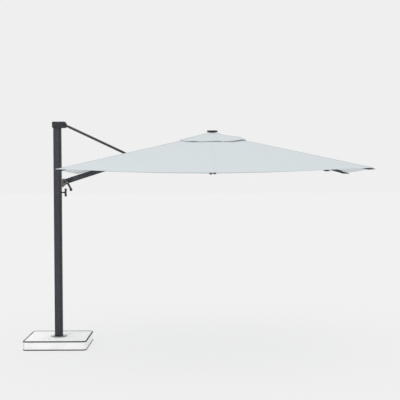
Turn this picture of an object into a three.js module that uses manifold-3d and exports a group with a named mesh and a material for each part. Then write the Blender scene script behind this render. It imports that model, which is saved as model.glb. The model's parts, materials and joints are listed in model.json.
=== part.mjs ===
// Cantilever parasol: a square canopy carried by a sloping arm, a slotted mast and a slab base.
// Millimetres, +Z up. The origin is on the ground under the mast's axis; the canopy reaches out along +X.
import * as THREE from 'three';
import { mergeVertices } from 'three/addons/utils/BufferGeometryUtils.js';
import Module from 'manifold-3d';

const wasm = await Module();
wasm.setup();

// ---- Driving dimensions ------------------------------------------------------------------

const GAP = 0.3; // kept between pieces that touch
const PIN = { radius: 6, hole: 6.5 }; // the linkage pins, and the holes that they pass through

const SLAB = { side: 680, height: 100, corner: 40, pocketRadius: 71, pocketFloor: 16 };
const SOCKET = { outer: 70, inner: 61, floor: 6, top: 99 };
const COLLAR = { inner: 58, outer: 78.5, height: 5, bevel: 3 };
const FOOT = { radius: 59.8, bottom: 23, back: -36, front: 34, halfWidth: 26, top: 190 };

const MAST = { depthX: 84, widthY: 64, wall: 3.2, corner: 9, slot: 24, bottom: 36, top: 2462 };
const HEAD = { bottom: 2406, top: 2474.5, back: -53, nose: 105, halfWidth: 40, roof: 6 };
const HEAD_SLOT = { back: 58, half: 9 };
const CARRIAGE = { back: -34, front: 35, halfWidth: 25, bottom: 1652, top: 1848 };
const CARRIAGE_WEB = { front: 42.2, halfWidth: 10.5, bottom: 1664, top: 1846 };
const GLIDE = { depthX: 76, widthY: 56, corner: 6, height: 10 };
const BRACKET = { back: 42.6, front: 50, halfWidth: 29, bottom: 1750, top: 1847 };
const CHEEK = { inner: 19, outer: 25.5 }; // the bracket's two cheeks, by distance from its middle
const HANDLE = { z: 1694, barX: 87, length: 88, endRadius: 13, waistRadius: 10.5, stemRadius: 7.5 };

const TIE_TOP = { x: 82, z: 2439.3 }; // the tie rod's upper pivot, in the mast head
const TIE_LOW = { x: 770, z: 2112.9 }; // its lower pivot, on the arm's saddle
const TIE = { radius: 13.5, wall: 2, eyeToTube: 46, forkToTube: 44, plugLength: 25, eyeHalf: 7, eyeRadius: 10 };
const FORK = { reach: 24, inner: 5.8, outer: 10, halfHeight: 11.5 };

const ARM_PIVOT = { x: 78, z: 1812 };
const ARM_SLOPE = Math.atan(0.3213);
const ARM = { height: 56, width: 38, wall: 2.5, start: 95, end: 1500 };
const ARM_ROOT = { tongueRadius: 19, half: 18, bodyStart: 14 };
const ROOT_PLUG = { length: 70, halfWidth: 16, halfHeight: 25 };
const SADDLE = { halfLength: 45, wall: 3, lugFoot: 22, lugHalf: 5 };
const WINCH = { drum: 9.6, pocket: 10.4, cover: 13.5, near: -18, far: 12 };
const CRANK_SHAFT = { x: 113, z: 1806, radius: 5.8 };
const CRANK_KNOB = { x: 158, z: 1726 };
const CRANK = { outerFace: -58, innerFace: -52, half: 10.5, bossRadius: 13, knobBossRadius: 12, spindle: 3.8 };

const HUB_X = 1710;
const HALF = 1500; // half the canopy's side
const APEX_Z = 2338;
const MID_Z = 1900; // hem height at the middle of each side
const CORNER_Z = 1940; // hem height at each corner
const CLOTH = 1.5;
const RIDGE = { run: 215, z: 2304, crownZ: 2330 }; // the cloth over the arm, which bends here
const VENT = { half: 356, inner: 2352, midZ: 2262, cornerZ: 2270, armSideZ: 2276 };
const CLOTH_HOLE = 25;
const BAND = { width: 5, height: 27 }; // joins the two layers of cloth round the crown
const SLIT = { back: 40, front: 60, half: 9 }; // in the cloth, round the saddle's lug

const RIB = { depth: 24, width: 14, wall: 1.5, pivotRadius: 60, pivotZ: 2305, tail: 8 };
const RIB_CAP = { length: 84, overhang: 6, width: 30, height: 20, tipHeight: 5, taper: 62, sink: 4, plug: 22 };
const STAY_REACH = 690; // along the rib to the stay's pivot, plus the stay's own length
const STAY = { cheek: 2.5, low: -8, high: 16, gap: 16, web: 2.5, webFromEnds: 45, overhang: 8, nose: 24 };
const RUNNER_Z = 1975;
const RUNNER = { radius: 38, bottom: 1962, top: 1988, footRadius: 20, lugReach: 67, lugWidth: 10, lugHalf: 9 };
const POST = { outer: 17, inner: 13, bottom: 1992, top: 2350, guideTop: 2347 };
const HUB = { radius: 44, bottom: 2292, top: 2318, joint: -40 };
const HUB_LUG = { inner: 40, outer: 69, halfThickness: 2.2, offset: 3, half: 10 };
const TONGUE = { length: 75, halfHeight: 24, halfWidth: 15.5 };
const FINIAL = { seatRadius: 21, underRadius: 54, radius: 59, topRadius: 53 };

// Ribs by azimuth around the hub. The arm takes the place of a rib towards the mast.
const RIBS = [
  { name: 'right', azimuth: 0, corner: false },
  { name: 'back_right', azimuth: 45, corner: true },
  { name: 'back', azimuth: 90, corner: false },
  { name: 'back_left', azimuth: 135, corner: true },
  { name: 'front_left', azimuth: 225, corner: true },
  { name: 'front', azimuth: 270, corner: false },
  { name: 'front_right', azimuth: 315, corner: true },
];

// ---- Materials ---------------------------------------------------------------------------

function paint(color, roughness, metalness) {
  return new THREE.MeshStandardMaterial({ color, roughness, metalness });
}

const anthracite = paint(0x4b4e54, 0.5, 0.6);
const darkCasting = paint(0x3e4046, 0.55, 0.5);
const greyCasting = paint(0x6f6d6e, 0.6, 0.4);
const blackPlastic = paint(0x17191c, 0.5, 0);
const nylon = paint(0xcfcfca, 0.6, 0);
const steel = paint(0xa9abae, 0.35, 0.9);
const concrete = paint(0xe4e4e2, 0.9, 0);
const cloth = paint(0xd7dee1, 0.95, 0);

// ---- Solid helpers -----------------------------------------------------------------------

function toSolid(geometry) {
  const bare = geometry.clone();
  bare.deleteAttribute('normal');
  bare.deleteAttribute('uv');
  const merged = mergeVertices(bare, 1e-4);
  return new wasm.Manifold(new wasm.Mesh({
    numProp: 3,
    vertProperties: new Float32Array(merged.attributes.position.array),
    triVerts: new Uint32Array(merged.index.array),
  }));
}

function toGeometry(solid) {
  const mesh = solid.getMesh();
  const geometry = new THREE.BufferGeometry();
  geometry.setAttribute('position', new THREE.BufferAttribute(new Float32Array(mesh.vertProperties), 3));
  geometry.setIndex(new THREE.BufferAttribute(new Uint32Array(mesh.triVerts), 1));
  return geometry;
}

function join(...geometries) {
  return toGeometry(geometries.map(toSolid).reduce((whole, next) => whole.add(next)));
}

function cut(geometry, ...tools) {
  return toGeometry(tools.map(toSolid).reduce((whole, next) => whole.subtract(next), toSolid(geometry)));
}

function box(x0, x1, y0, y1, z0, z1) {
  const geometry = new THREE.BoxGeometry(x1 - x0, y1 - y0, z1 - z0);
  return geometry.translate((x0 + x1) / 2, (y0 + y1) / 2, (z0 + z1) / 2);
}

// A round bar along Z between two heights.
function barZ(radius, z0, z1, sides = 24) {
  return new THREE.CylinderGeometry(radius, radius, z1 - z0, sides).rotateX(Math.PI / 2)
    .translate(0, 0, (z0 + z1) / 2);
}

// A round bar along Y, centred on (x, z).
function barY(radius, y0, y1, x, z, sides = 16) {
  return new THREE.CylinderGeometry(radius, radius, y1 - y0, sides).translate(x, (y0 + y1) / 2, z);
}

// A round bar along X, centred on height z.
function barX(radius, x0, x1, z, sides = 16) {
  return new THREE.CylinderGeometry(radius, radius, x1 - x0, sides).rotateZ(Math.PI / 2)
    .translate((x0 + x1) / 2, 0, z);
}

// A solid of revolution about Z. The profile is [radius, height] pairs.
function turned(profile, sides = 28) {
  const points = profile.map(([radius, height]) => new THREE.Vector2(radius, height));
  return new THREE.LatheGeometry(points, sides).rotateX(Math.PI / 2);
}

// A flat outline in the XZ plane, given thickness along Y between y0 and y1.
function plateXZ(outline, y0, y1) {
  const shape = new THREE.Shape(outline.map(([x, z]) => new THREE.Vector2(x, z)));
  const geometry = new THREE.ExtrudeGeometry(shape, { depth: y1 - y0, bevelEnabled: false });
  return geometry.rotateX(Math.PI / 2).translate(0, y1, 0);
}

// A rectangle with rounded corners, centred on the origin.
function roundedRectangle(width, height, radius, path = new THREE.Shape()) {
  const x = width / 2;
  const y = height / 2;
  path.moveTo(x - radius, -y);
  path.absarc(x - radius, -y + radius, radius, -Math.PI / 2, 0);
  path.absarc(x - radius, y - radius, radius, 0, Math.PI / 2);
  path.absarc(-x + radius, y - radius, radius, Math.PI / 2, Math.PI);
  path.absarc(-x + radius, -y + radius, radius, Math.PI, 1.5 * Math.PI);
  path.closePath();
  return path;
}

function prismZ(shape, z0, z1, curveSegments = 4) {
  const geometry = new THREE.ExtrudeGeometry(shape, { depth: z1 - z0, bevelEnabled: false, curveSegments });
  return geometry.translate(0, 0, z0);
}

// A square-cornered tube along +X from x0 to x1, deep along Z and wide along Y.
function boxTubeX(x0, x1, depth, width, wall) {
  const outside = box(x0, x1, -width / 2, width / 2, -depth / 2, depth / 2);
  const inside = box(x0 - 1, x1 + 1, -width / 2 + wall, width / 2 - wall, -depth / 2 + wall, depth / 2 - wall);
  return cut(outside, inside);
}

// A thin sheet: triangles between top points, with an equal underside straight below them.
function sheetSolid(points, triangles, thickness) {
  const count = points.length;
  const position = [...points.flat(), ...points.map(([x, y, z]) => [x, y, z - thickness]).flat()];
  const edges = new Set();
  const index = [];
  for (const [a, b, c] of triangles) {
    index.push(a, b, c, a + count, c + count, b + count);
    [[a, b], [b, c], [c, a]].forEach(([p, q]) => edges.add(`${p},${q}`));
  }
  for (const edge of edges) {
    const [p, q] = edge.split(',').map(Number);
    if (!edges.has(`${q},${p}`)) {
      index.push(p, p + count, q + count, p, q + count, q);
    }
  }
  const geometry = new THREE.BufferGeometry();
  geometry.setAttribute('position', new THREE.Float32BufferAttribute(position, 3));
  geometry.setIndex(index);
  return geometry;
}

const parasol = new THREE.Group();

function add(name, geometry, material, parent = parasol) {
  const mesh = new THREE.Mesh(geometry, material);
  mesh.name = name;
  parent.add(mesh);
  return mesh;
}

// ---- Base --------------------------------------------------------------------------------

function baseSlab() {
  const block = prismZ(roundedRectangle(SLAB.side, SLAB.side, SLAB.corner), 0, SLAB.height, 6);
  return cut(block, barZ(SLAB.pocketRadius, SLAB.pocketFloor, SLAB.height + 1, 36));
}

function baseSocket() {
  const floorZ = SLAB.pocketFloor + GAP;
  return turned([
    [0, floorZ], [SOCKET.outer, floorZ], [SOCKET.outer, SOCKET.top], [SOCKET.inner, SOCKET.top],
    [SOCKET.inner, floorZ + SOCKET.floor], [0, floorZ + SOCKET.floor],
  ], 36);
}

function baseCollar() {
  const z0 = SLAB.height + GAP;
  const z1 = z0 + COLLAR.height;
  return turned([
    [COLLAR.inner, z0], [COLLAR.outer, z0], [COLLAR.outer, z1 - COLLAR.bevel],
    [COLLAR.outer - COLLAR.bevel, z1], [COLLAR.inner + COLLAR.bevel / 2, z1],
    [COLLAR.inner, z1 - COLLAR.bevel / 2], [COLLAR.inner, z0],
  ], 36);
}

add('base_slab', baseSlab(), concrete);
add('base_socket', baseSocket(), steel);
add('base_collar', baseCollar(), concrete);

// ---- Mast --------------------------------------------------------------------------------

// A disc that turns in the base's socket, with a stub that fills the mast's lower end.
function swivelFoot() {
  const discTop = MAST.bottom - GAP;
  const disc = barZ(FOOT.radius, FOOT.bottom, discTop, 36);
  const stub = box(FOOT.back, FOOT.front, -FOOT.halfWidth, FOOT.halfWidth, discTop - 2, FOOT.top);
  return join(disc, stub);
}

// The extrusion is a box with a slot along its +X face, so its section is one open C.
function mastProfile() {
  const outer = { x: MAST.depthX / 2, y: MAST.widthY / 2, r: MAST.corner };
  const inner = { x: outer.x - MAST.wall, y: outer.y - MAST.wall, r: MAST.corner - MAST.wall };
  const lip = MAST.slot / 2;
  const quarter = Math.PI / 2;
  const section = new THREE.Shape();
  section.moveTo(outer.x, lip);
  section.absarc(outer.x - outer.r, outer.y - outer.r, outer.r, 0, quarter);
  section.absarc(-outer.x + outer.r, outer.y - outer.r, outer.r, quarter, 2 * quarter);
  section.absarc(-outer.x + outer.r, -outer.y + outer.r, outer.r, 2 * quarter, 3 * quarter);
  section.absarc(outer.x - outer.r, -outer.y + outer.r, outer.r, 3 * quarter, 4 * quarter);
  section.lineTo(outer.x, -lip);
  section.lineTo(inner.x, -lip);
  section.absarc(inner.x - inner.r, -inner.y + inner.r, inner.r, 0, -quarter, true);
  section.absarc(-inner.x + inner.r, -inner.y + inner.r, inner.r, -quarter, -2 * quarter, true);
  section.absarc(-inner.x + inner.r, inner.y - inner.r, inner.r, 2 * quarter, quarter, true);
  section.absarc(inner.x - inner.r, inner.y - inner.r, inner.r, quarter, 0, true);
  section.lineTo(inner.x, lip);
  section.closePath();
  return prismZ(section, MAST.bottom, MAST.top, 5);
}

// A cap over the mast's top with a forked nose that holds the tie rod's upper pin.
function mastHead() {
  const { back, nose, bottom, top, halfWidth } = HEAD;
  const middle = (bottom + top) / 2;
  const outline = [
    [back + 7, bottom], [nose - 17, bottom], [nose - 6, bottom + 9], [nose, middle - 8],
    [nose - 1, middle + 4], [nose - 15, top - 6], [nose - 21, top], [back + 9, top],
    [back, top - 9], [back, middle + 4], [back + 2, middle], [back, middle - 4], [back, bottom + 8],
  ];
  const body = plateXZ(outline, -halfWidth, halfWidth);
  const seat = { x: MAST.depthX / 2 + GAP, y: MAST.widthY / 2 + GAP };
  const mastPocket = box(-seat.x, seat.x, -seat.y, seat.y, bottom - 1, MAST.top + GAP);
  const rodSlot = box(HEAD_SLOT.back, nose + 1, -HEAD_SLOT.half, HEAD_SLOT.half, bottom - 1, top - HEAD.roof);
  const pinHole = barY(PIN.hole, -halfWidth - 1, halfWidth + 1, TIE_TOP.x, TIE_TOP.z);
  return cut(body, mastPocket, rodSlot, pinHole);
}

add('swivel_foot', swivelFoot(), steel);
add('mast_profile', mastProfile(), anthracite);
add('mast_head', mastHead(), darkCasting);
add('tie_rod_head_pin', barY(PIN.radius, 1 - HEAD.halfWidth, HEAD.halfWidth - 1, TIE_TOP.x, TIE_TOP.z), steel);

// ---- Carriage in the mast's slot -----------------------------------------------------------

// A block inside the mast, with a web that comes out through the mast's slot.
function carriageBlock() {
  const { back, front, halfWidth, bottom, top } = CARRIAGE;
  const body = box(back, front, -halfWidth, halfWidth, bottom, top);
  const webHalf = CARRIAGE_WEB.halfWidth;
  const web = box(front - 1, CARRIAGE_WEB.front, -webHalf, webHalf, CARRIAGE_WEB.bottom, CARRIAGE_WEB.top);
  const studHole = barX(HANDLE.stemRadius + 0.6, 8, 60, HANDLE.z);
  return cut(join(body, web), studHole);
}

function carriageGlide(z0) {
  const section = roundedRectangle(GLIDE.depthX, GLIDE.widthY, GLIDE.corner);
  return prismZ(section, z0, z0 + GLIDE.height, 2);
}

// Two cheeks on a foot, with the arm's hinge between them.
function armBracket() {
  const { back, front, halfWidth, bottom, top } = BRACKET;
  const foot = box(back, front, -halfWidth, halfWidth, bottom, top);
  const outline = [
    [front - 1, bottom + 2], [front + 6, bottom + 4], [98, 1788], [98, 1826], [86, top - 2], [front - 1, top],
  ];
  const spans = [[-CHEEK.outer, -CHEEK.inner], [CHEEK.inner, CHEEK.outer]];
  const cheeks = spans.map(([y0, y1]) => plateXZ(outline, y0, y1));
  const pinHole = barY(PIN.hole, -halfWidth, halfWidth, ARM_PIVOT.x, ARM_PIVOT.z);
  return cut(join(foot, ...cheeks), pinHole);
}

const bracketPinHalf = CHEEK.outer + 1.5;
add('carriage_block', carriageBlock(), darkCasting);
add('carriage_glide_top', carriageGlide(CARRIAGE.top + GAP), nylon);
add('carriage_glide_bottom', carriageGlide(CARRIAGE.bottom - GAP - GLIDE.height), nylon);
add('arm_bracket', armBracket(), greyCasting);
add('arm_hinge_pin', barY(PIN.radius, -bracketPinHalf, bracketPinHalf, ARM_PIVOT.x, ARM_PIVOT.z), steel);

// The locking handle: a cross bar on a threaded stem that clamps the carriage.
function lockingHandle() {
  const { endRadius, waistRadius, length, barX: x, z } = HANDLE;
  const half = length / 2;
  const profile = [
    [0, -half], [endRadius - 3, -half], [endRadius, -half + 4], [endRadius, -half + 16],
    [waistRadius, -half + 26], [waistRadius, half - 26], [endRadius, half - 16],
    [endRadius, half - 4], [endRadius - 3, half], [0, half],
  ];
  const bar = turned(profile, 14).translate(x, 0, z);
  const boss = barX(endRadius, x - 14, x, z, 14);
  const stem = barX(HANDLE.stemRadius, 12, x, z, 14);
  return join(bar, boss, stem);
}

add('locking_handle', lockingHandle(), blackPlastic);

// ---- Arm -----------------------------------------------------------------------------------

// The arm's own frame: X along the arm from its hinge, Z across it.
const arm = new THREE.Group();
arm.position.set(ARM_PIVOT.x, 0, ARM_PIVOT.z);
arm.rotation.y = -ARM_SLOPE;
parasol.add(arm);

function toArmFrame({ x, z }) {
  const dx = x - ARM_PIVOT.x;
  const dz = z - ARM_PIVOT.z;
  return {
    x: dx * Math.cos(ARM_SLOPE) + dz * Math.sin(ARM_SLOPE),
    z: -dx * Math.sin(ARM_SLOPE) + dz * Math.cos(ARM_SLOPE),
  };
}

const shaftInArm = toArmFrame(CRANK_SHAFT);

// The casting at the arm's lower end: hinge tongue, winch housing and a plug in the arm's tube.
function armRoot() {
  const { tongueRadius, half, bodyStart } = ARM_ROOT;
  const { length, halfWidth, halfHeight } = ROOT_PLUG;
  const tongue = barY(tongueRadius, -half, half, 0, 0, 24);
  const body = box(bodyStart, ARM.start - GAP, -half, half, -ARM.height / 2, ARM.height / 2);
  const plug = box(ARM.start - 1, ARM.start + length, -halfWidth, halfWidth, -halfHeight, halfHeight);
  const pinHole = barY(PIN.hole, -half - 1, half + 1, 0, 0);
  const winchPocket = barY(WINCH.pocket, WINCH.near - 1, WINCH.far, shaftInArm.x, shaftInArm.z, 20);
  return cut(join(tongue, body, plug), pinHole, winchPocket);
}

// A saddle clamped round the arm, with a lug standing up through the canopy for the tie rod.
function tieSaddle() {
  const { halfLength, wall, lugFoot, lugHalf } = SADDLE;
  const pin = toArmFrame(TIE_LOW);
  const topZ = ARM.height / 2 + GAP;
  const side = ARM.width / 2 + GAP;
  const [x0, x1] = [pin.x - halfLength, pin.x + halfLength];
  const shell = box(x0, x1, -side - wall, side + wall, -topZ - wall, topZ + wall);
  const hollow = box(x0 - 1, x1 + 1, -side, side, -topZ, topZ);
  const outline = [
    [pin.x - lugFoot, topZ], [pin.x + lugFoot, topZ], [pin.x + 9, pin.z + 6],
    [pin.x + 5, pin.z + 10], [pin.x - 5, pin.z + 10], [pin.x - 9, pin.z + 6],
  ];
  return cut(join(shell, plateXZ(outline, -lugHalf, lugHalf)), hollow);
}

function winchCover() {
  const { x, z } = shaftInArm;
  const outside = barY(WINCH.cover, WINCH.near - 4, WINCH.near - GAP, x, z, 24);
  return cut(outside, barY(CRANK_SHAFT.radius + 1.2, WINCH.near - 5, WINCH.near, x, z));
}

add('arm_root', armRoot(), darkCasting, arm);
add('arm_tube', boxTubeX(ARM.start, ARM.end, ARM.height, ARM.width, ARM.wall), anthracite, arm);
add('tie_rod_saddle', tieSaddle(), darkCasting, arm);
add('winch_cover', winchCover(), darkCasting, arm);

// ---- Crank and winch -------------------------------------------------------------------------

function winchDrum() {
  const bore = CRANK_SHAFT.radius + 0.6;
  const core = bore + 1.2;
  const spool = turned([
    [bore, -9], [WINCH.drum, -9], [WINCH.drum, -7], [core, -6],
    [core, 6], [WINCH.drum, 7], [WINCH.drum, 9], [bore, 9], [bore, -9],
  ], 20);
  return spool.rotateX(Math.PI / 2).translate(CRANK_SHAFT.x, -3, CRANK_SHAFT.z);
}

function crankArm() {
  const dx = CRANK_KNOB.x - CRANK_SHAFT.x;
  const dz = CRANK_KNOB.z - CRANK_SHAFT.z;
  const length = Math.hypot(dx, dz);
  const { outerFace, innerFace, half, bossRadius, knobBossRadius, spindle } = CRANK;
  const boss = barY(bossRadius, outerFace - 1, innerFace + 8, 0, 0, 18);
  const knobBoss = barY(knobBossRadius, outerFace, innerFace, length, 0, 18);
  const bar = join(box(0, length, outerFace, innerFace, -half, half), boss, knobBoss);
  const shaftHole = barY(CRANK_SHAFT.radius + GAP, outerFace - 2, innerFace + 9, 0, 0);
  const spindleHole = barY(spindle + 0.5, outerFace - 2, innerFace + 9, length, 0);
  const drilled = cut(bar, shaftHole, spindleHole);
  return drilled.rotateY(-Math.atan2(dz, dx)).translate(CRANK_SHAFT.x, 0, CRANK_SHAFT.z);
}

function crankKnob() {
  const { outerFace, innerFace, spindle } = CRANK;
  const grip = outerFace - 4;
  const profile = [
    [0, grip - 41], [10, grip - 41], [14, grip - 38], [15.5, grip - 32], [13.5, grip - 16],
    [14, grip - 6], [12, grip], [spindle, grip], [spindle, innerFace + 1.5], [0, innerFace + 1.5],
  ];
  return turned(profile, 20).rotateX(-Math.PI / 2);
}

add('crank_shaft', barY(CRANK_SHAFT.radius, CRANK.outerFace + 1, 11, CRANK_SHAFT.x, CRANK_SHAFT.z), steel);
add('winch_drum', winchDrum(), nylon);
add('crank_arm', crankArm(), blackPlastic);
const knob = add('crank_knob', crankKnob(), blackPlastic);
knob.position.set(CRANK_KNOB.x, 0, CRANK_KNOB.z);

// ---- Tie rod ---------------------------------------------------------------------------------

const tieLength = Math.hypot(TIE_LOW.x - TIE_TOP.x, TIE_LOW.z - TIE_TOP.z);
const tie = new THREE.Group();
tie.position.set(TIE_TOP.x, 0, TIE_TOP.z);
tie.rotation.y = Math.atan2(TIE_TOP.z - TIE_LOW.z, TIE_LOW.x - TIE_TOP.x);
parasol.add(tie);

const tubeStart = TIE.eyeToTube;
const tubeEnd = tieLength - TIE.forkToTube;
const plugRadius = TIE.radius - TIE.wall - 2 * GAP;

function tieTube() {
  const outside = barX(TIE.radius, tubeStart, tubeEnd, 0, 20);
  return cut(outside, barX(TIE.radius - TIE.wall, tubeStart - 1, tubeEnd + 1, 0, 20));
}

function tieEye() {
  const { eyeHalf, eyeRadius, plugLength } = TIE;
  const eye = barY(eyeRadius, -eyeHalf, eyeHalf, 0, 0, 18);
  const plate = box(0, tubeStart - GAP, -eyeHalf, eyeHalf, -eyeRadius, eyeRadius);
  const plug = barX(plugRadius, tubeStart - 2, tubeStart + plugLength, 0);
  return cut(join(eye, plate, plug), barY(PIN.radius + GAP, -eyeHalf - 1, eyeHalf + 1, 0, 0));
}

// Its two prongs hold the saddle's lug between them.
function tieFork() {
  const { reach, inner, outer, halfHeight } = FORK;
  const prongs = [[-outer, -inner], [inner, outer]].map(([y0, y1]) => join(
    barY(halfHeight, y0, y1, tieLength, 0, 18),
    box(tieLength - reach - 1, tieLength, y0, y1, -halfHeight, halfHeight),
  ));
  const bridge = box(tubeEnd + GAP, tieLength - reach, -outer, outer, -halfHeight, halfHeight);
  const plug = barX(plugRadius, tubeEnd - TIE.plugLength, tubeEnd + 2, 0);
  return join(...prongs, bridge, plug);
}

add('tie_rod_tube', tieTube(), anthracite, tie);
add('tie_rod_eye', tieEye(), darkCasting, tie);
add('tie_rod_fork', tieFork(), darkCasting, tie);

// ---- Crown, runner and finial ------------------------------------------------------------------

const hub = new THREE.Group();
hub.position.x = HUB_X;
parasol.add(hub);

function ringOfLugs(makeLug) {
  return RIBS.flatMap(({ azimuth }) => makeLug().map((lug) => lug.rotateZ(azimuth * Math.PI / 180)));
}

// The crown's tongue fills the arm's end, then runs level into the disc that carries the ribs.
function crownHub() {
  const disc = barZ(HUB.radius, HUB.bottom, HUB.top, 32);
  const { inner, outer, halfThickness, half } = HUB_LUG;
  const lugs = ringOfLugs(() => [-1, 1].map((side) => {
    const y = side * (RIB.width / 2 + HUB_LUG.offset);
    return box(inner, outer, y - halfThickness, y + halfThickness, RIB.pivotZ - half, RIB.pivotZ + half);
  }));
  const inArm = (along, across) => [
    ARM_PIVOT.x - HUB_X + along * Math.cos(ARM_SLOPE) - across * Math.sin(ARM_SLOPE),
    ARM_PIVOT.z + along * Math.sin(ARM_SLOPE) + across * Math.cos(ARM_SLOPE),
  ];
  const { length, halfHeight, halfWidth } = TONGUE;
  const outline = [
    inArm(ARM.end - length, -halfHeight), inArm(ARM.end - 1, -halfHeight), [HUB.joint, HUB.bottom + 1],
    [HUB.joint, HUB.top], inArm(ARM.end - 1, halfHeight), inArm(ARM.end - length, halfHeight),
  ];
  const postHole = barZ(POST.outer + GAP, HUB.bottom - 1, HUB.top + 1);
  return cut(join(disc, plateXZ(outline, -halfWidth, halfWidth), ...lugs), postHole);
}

function centrePost() {
  return cut(barZ(POST.outer, POST.bottom, POST.top), barZ(POST.inner, POST.bottom - 1, POST.top + 1));
}

// The runner slides on a guide that telescopes inside the centre post.
function runner() {
  const { radius, footRadius, bottom, top, lugReach, lugWidth, lugHalf } = RUNNER;
  const guide = POST.inner - 1;
  const body = turned([
    [0, bottom - 6], [footRadius, bottom - 6], [radius, bottom], [radius, top], [guide, top],
    [guide, POST.guideTop - 2], [guide - 2, POST.guideTop], [0, POST.guideTop],
  ]);
  const y = lugWidth / 2;
  const lugs = ringOfLugs(() => [box(radius - 4, lugReach, -y, y, RUNNER_Z - lugHalf, RUNNER_Z + lugHalf)]);
  return join(body, ...lugs);
}

function finial() {
  const { seatRadius, underRadius, radius, topRadius } = FINIAL;
  const z0 = POST.top + GAP;
  return turned([
    [0, z0], [seatRadius, z0], [seatRadius, z0 + 5], [underRadius, z0 + 5],
    [radius, z0 + 8], [radius, z0 + 12], [topRadius, z0 + 17], [0, z0 + 21],
  ], 32);
}

add('crown_hub', crownHub(), darkCasting, hub);
add('centre_post', centrePost(), anthracite, hub);
add('runner', runner(), blackPlastic, hub);
add('finial', finial(), blackPlastic, hub);

// ---- Ribs and their stays ------------------------------------------------------------------------

// Where a rib runs, in its own vertical plane: from its pivot to a tip just under the cloth.
function ribLine(corner) {
  const tipRadius = corner ? HALF * Math.SQRT2 : HALF;
  const hemZ = corner ? CORNER_Z : MID_Z;
  const underCloth = RIB.depth / 2 + CLOTH + (corner ? 3 : 1);
  const tipZ = hemZ - underCloth * Math.hypot(1, (APEX_Z - hemZ) / tipRadius);
  const run = tipRadius - RIB.pivotRadius;
  const drop = RIB.pivotZ - tipZ;
  return { slope: Math.atan2(drop, run), length: Math.hypot(run, drop) };
}

// The stay's pivot along the rib, so that rib and stay hang in one line when the runner is down.
function stayLine(slope) {
  const open = RIB.pivotZ - RUNNER_Z;
  const alongRib = (STAY_REACH ** 2 - open ** 2) / (2 * (STAY_REACH - open * Math.sin(slope)));
  const pivot = {
    x: RIB.pivotRadius + alongRib * Math.cos(slope),
    z: RIB.pivotZ - alongRib * Math.sin(slope),
  };
  const angle = Math.atan2(pivot.z - RUNNER_Z, pivot.x - RIB.pivotRadius);
  return { length: STAY_REACH - alongRib, angle };
}

function ribTube(length) {
  const end = length + RIB_CAP.overhang - RIB_CAP.length;
  return boxTubeX(-RIB.tail, end, RIB.depth, RIB.width, RIB.wall);
}

// A shoe that tapers to the tip, where the cloth is tied, with a plug in the rib's tube.
function ribCap(length) {
  const { overhang, width, height, tipHeight, taper, sink, plug } = RIB_CAP;
  const tip = length + overhang;
  const start = tip - RIB_CAP.length + GAP;
  const top = RIB.depth / 2 - sink;
  const outline = [
    [start, top - height], [tip - taper, top - height], [tip, top - tipHeight], [tip, top], [start, top],
  ];
  const shoe = plateXZ(outline, -width / 2, width / 2);
  const plugHalf = RIB.width / 2 - RIB.wall - GAP;
  const plugTop = RIB.depth / 2 - RIB.wall - GAP;
  return join(shoe, box(start - plug, start + 2, -plugHalf, plugHalf, 1 - plugTop, plugTop));
}

// Two cheeks outside the rib, tied by a web on the side that stays clear of the rib as it folds.
function stay(length) {
  const { cheek, low, high, gap, web, webFromEnds, overhang, nose } = STAY;
  const inner = gap / 2;
  const outer = inner + cheek;
  const profile = [
    [-overhang, low], [length + overhang, low], [length + overhang, -low],
    [length - nose, -low], [length - webFromEnds, high], [webFromEnds, high],
    [nose, -low], [-overhang, -low],
  ];
  const cheeks = [[-outer, -inner], [inner, outer]].map(([y0, y1]) => plateXZ(profile, y0, y1));
  const bridge = box(webFromEnds, length - webFromEnds, -outer + 1, outer - 1, high - web, high);
  return join(...cheeks, bridge);
}

function addRib({ name, azimuth, corner }) {
  const turn = new THREE.Group();
  turn.rotation.z = azimuth * Math.PI / 180;
  hub.add(turn);
  const { slope, length } = ribLine(corner);
  const rib = new THREE.Group();
  rib.position.set(RIB.pivotRadius, 0, RIB.pivotZ);
  rib.rotation.y = slope;
  turn.add(rib);
  add(`rib_${name}`, ribTube(length), anthracite, rib);
  add(`rib_cap_${name}`, ribCap(length), blackPlastic, rib);
  const line = stayLine(slope);
  const brace = new THREE.Group();
  brace.position.set(RIB.pivotRadius, 0, RUNNER_Z);
  brace.rotation.y = -line.angle;
  turn.add(brace);
  add(`stay_${name}`, stay(line.length), anthracite, brace);
}

RIBS.forEach(addRib);

// ---- Canopy --------------------------------------------------------------------------------------

// The plan is square. A station is a direction seen from the hub; gores meet at the stations between ribs.
const GORE = Math.atan(0.5) * 180 / Math.PI;
const ARM_SIDE = 180;

function stationsOf({ azimuth, corner }) {
  const reach = corner ? 45 - GORE : GORE;
  if (azimuth === ARM_SIDE - 45) {
    return [azimuth - reach, azimuth, ARM_SIDE];
  }
  if (azimuth === ARM_SIDE + 45) {
    return [ARM_SIDE, azimuth, azimuth + reach];
  }
  return [azimuth - reach, azimuth, azimuth + reach];
}

// How far a direction lies from the middle of its side: 0 at the middle, 1 at the corner.
function towardsCorner(azimuth) {
  const offset = ((azimuth + 45) % 90) - 45;
  return Math.abs(Math.tan(offset * Math.PI / 180));
}

// A point in plan on the square of the given half side, moved sideways by a small inset.
function onSquare(half, azimuth, inset) {
  const angle = azimuth * Math.PI / 180;
  const radius = half * Math.hypot(1, towardsCorner(azimuth));
  return [
    radius * Math.cos(angle) - inset * Math.sin(angle),
    radius * Math.sin(angle) + inset * Math.cos(angle),
  ];
}

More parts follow.
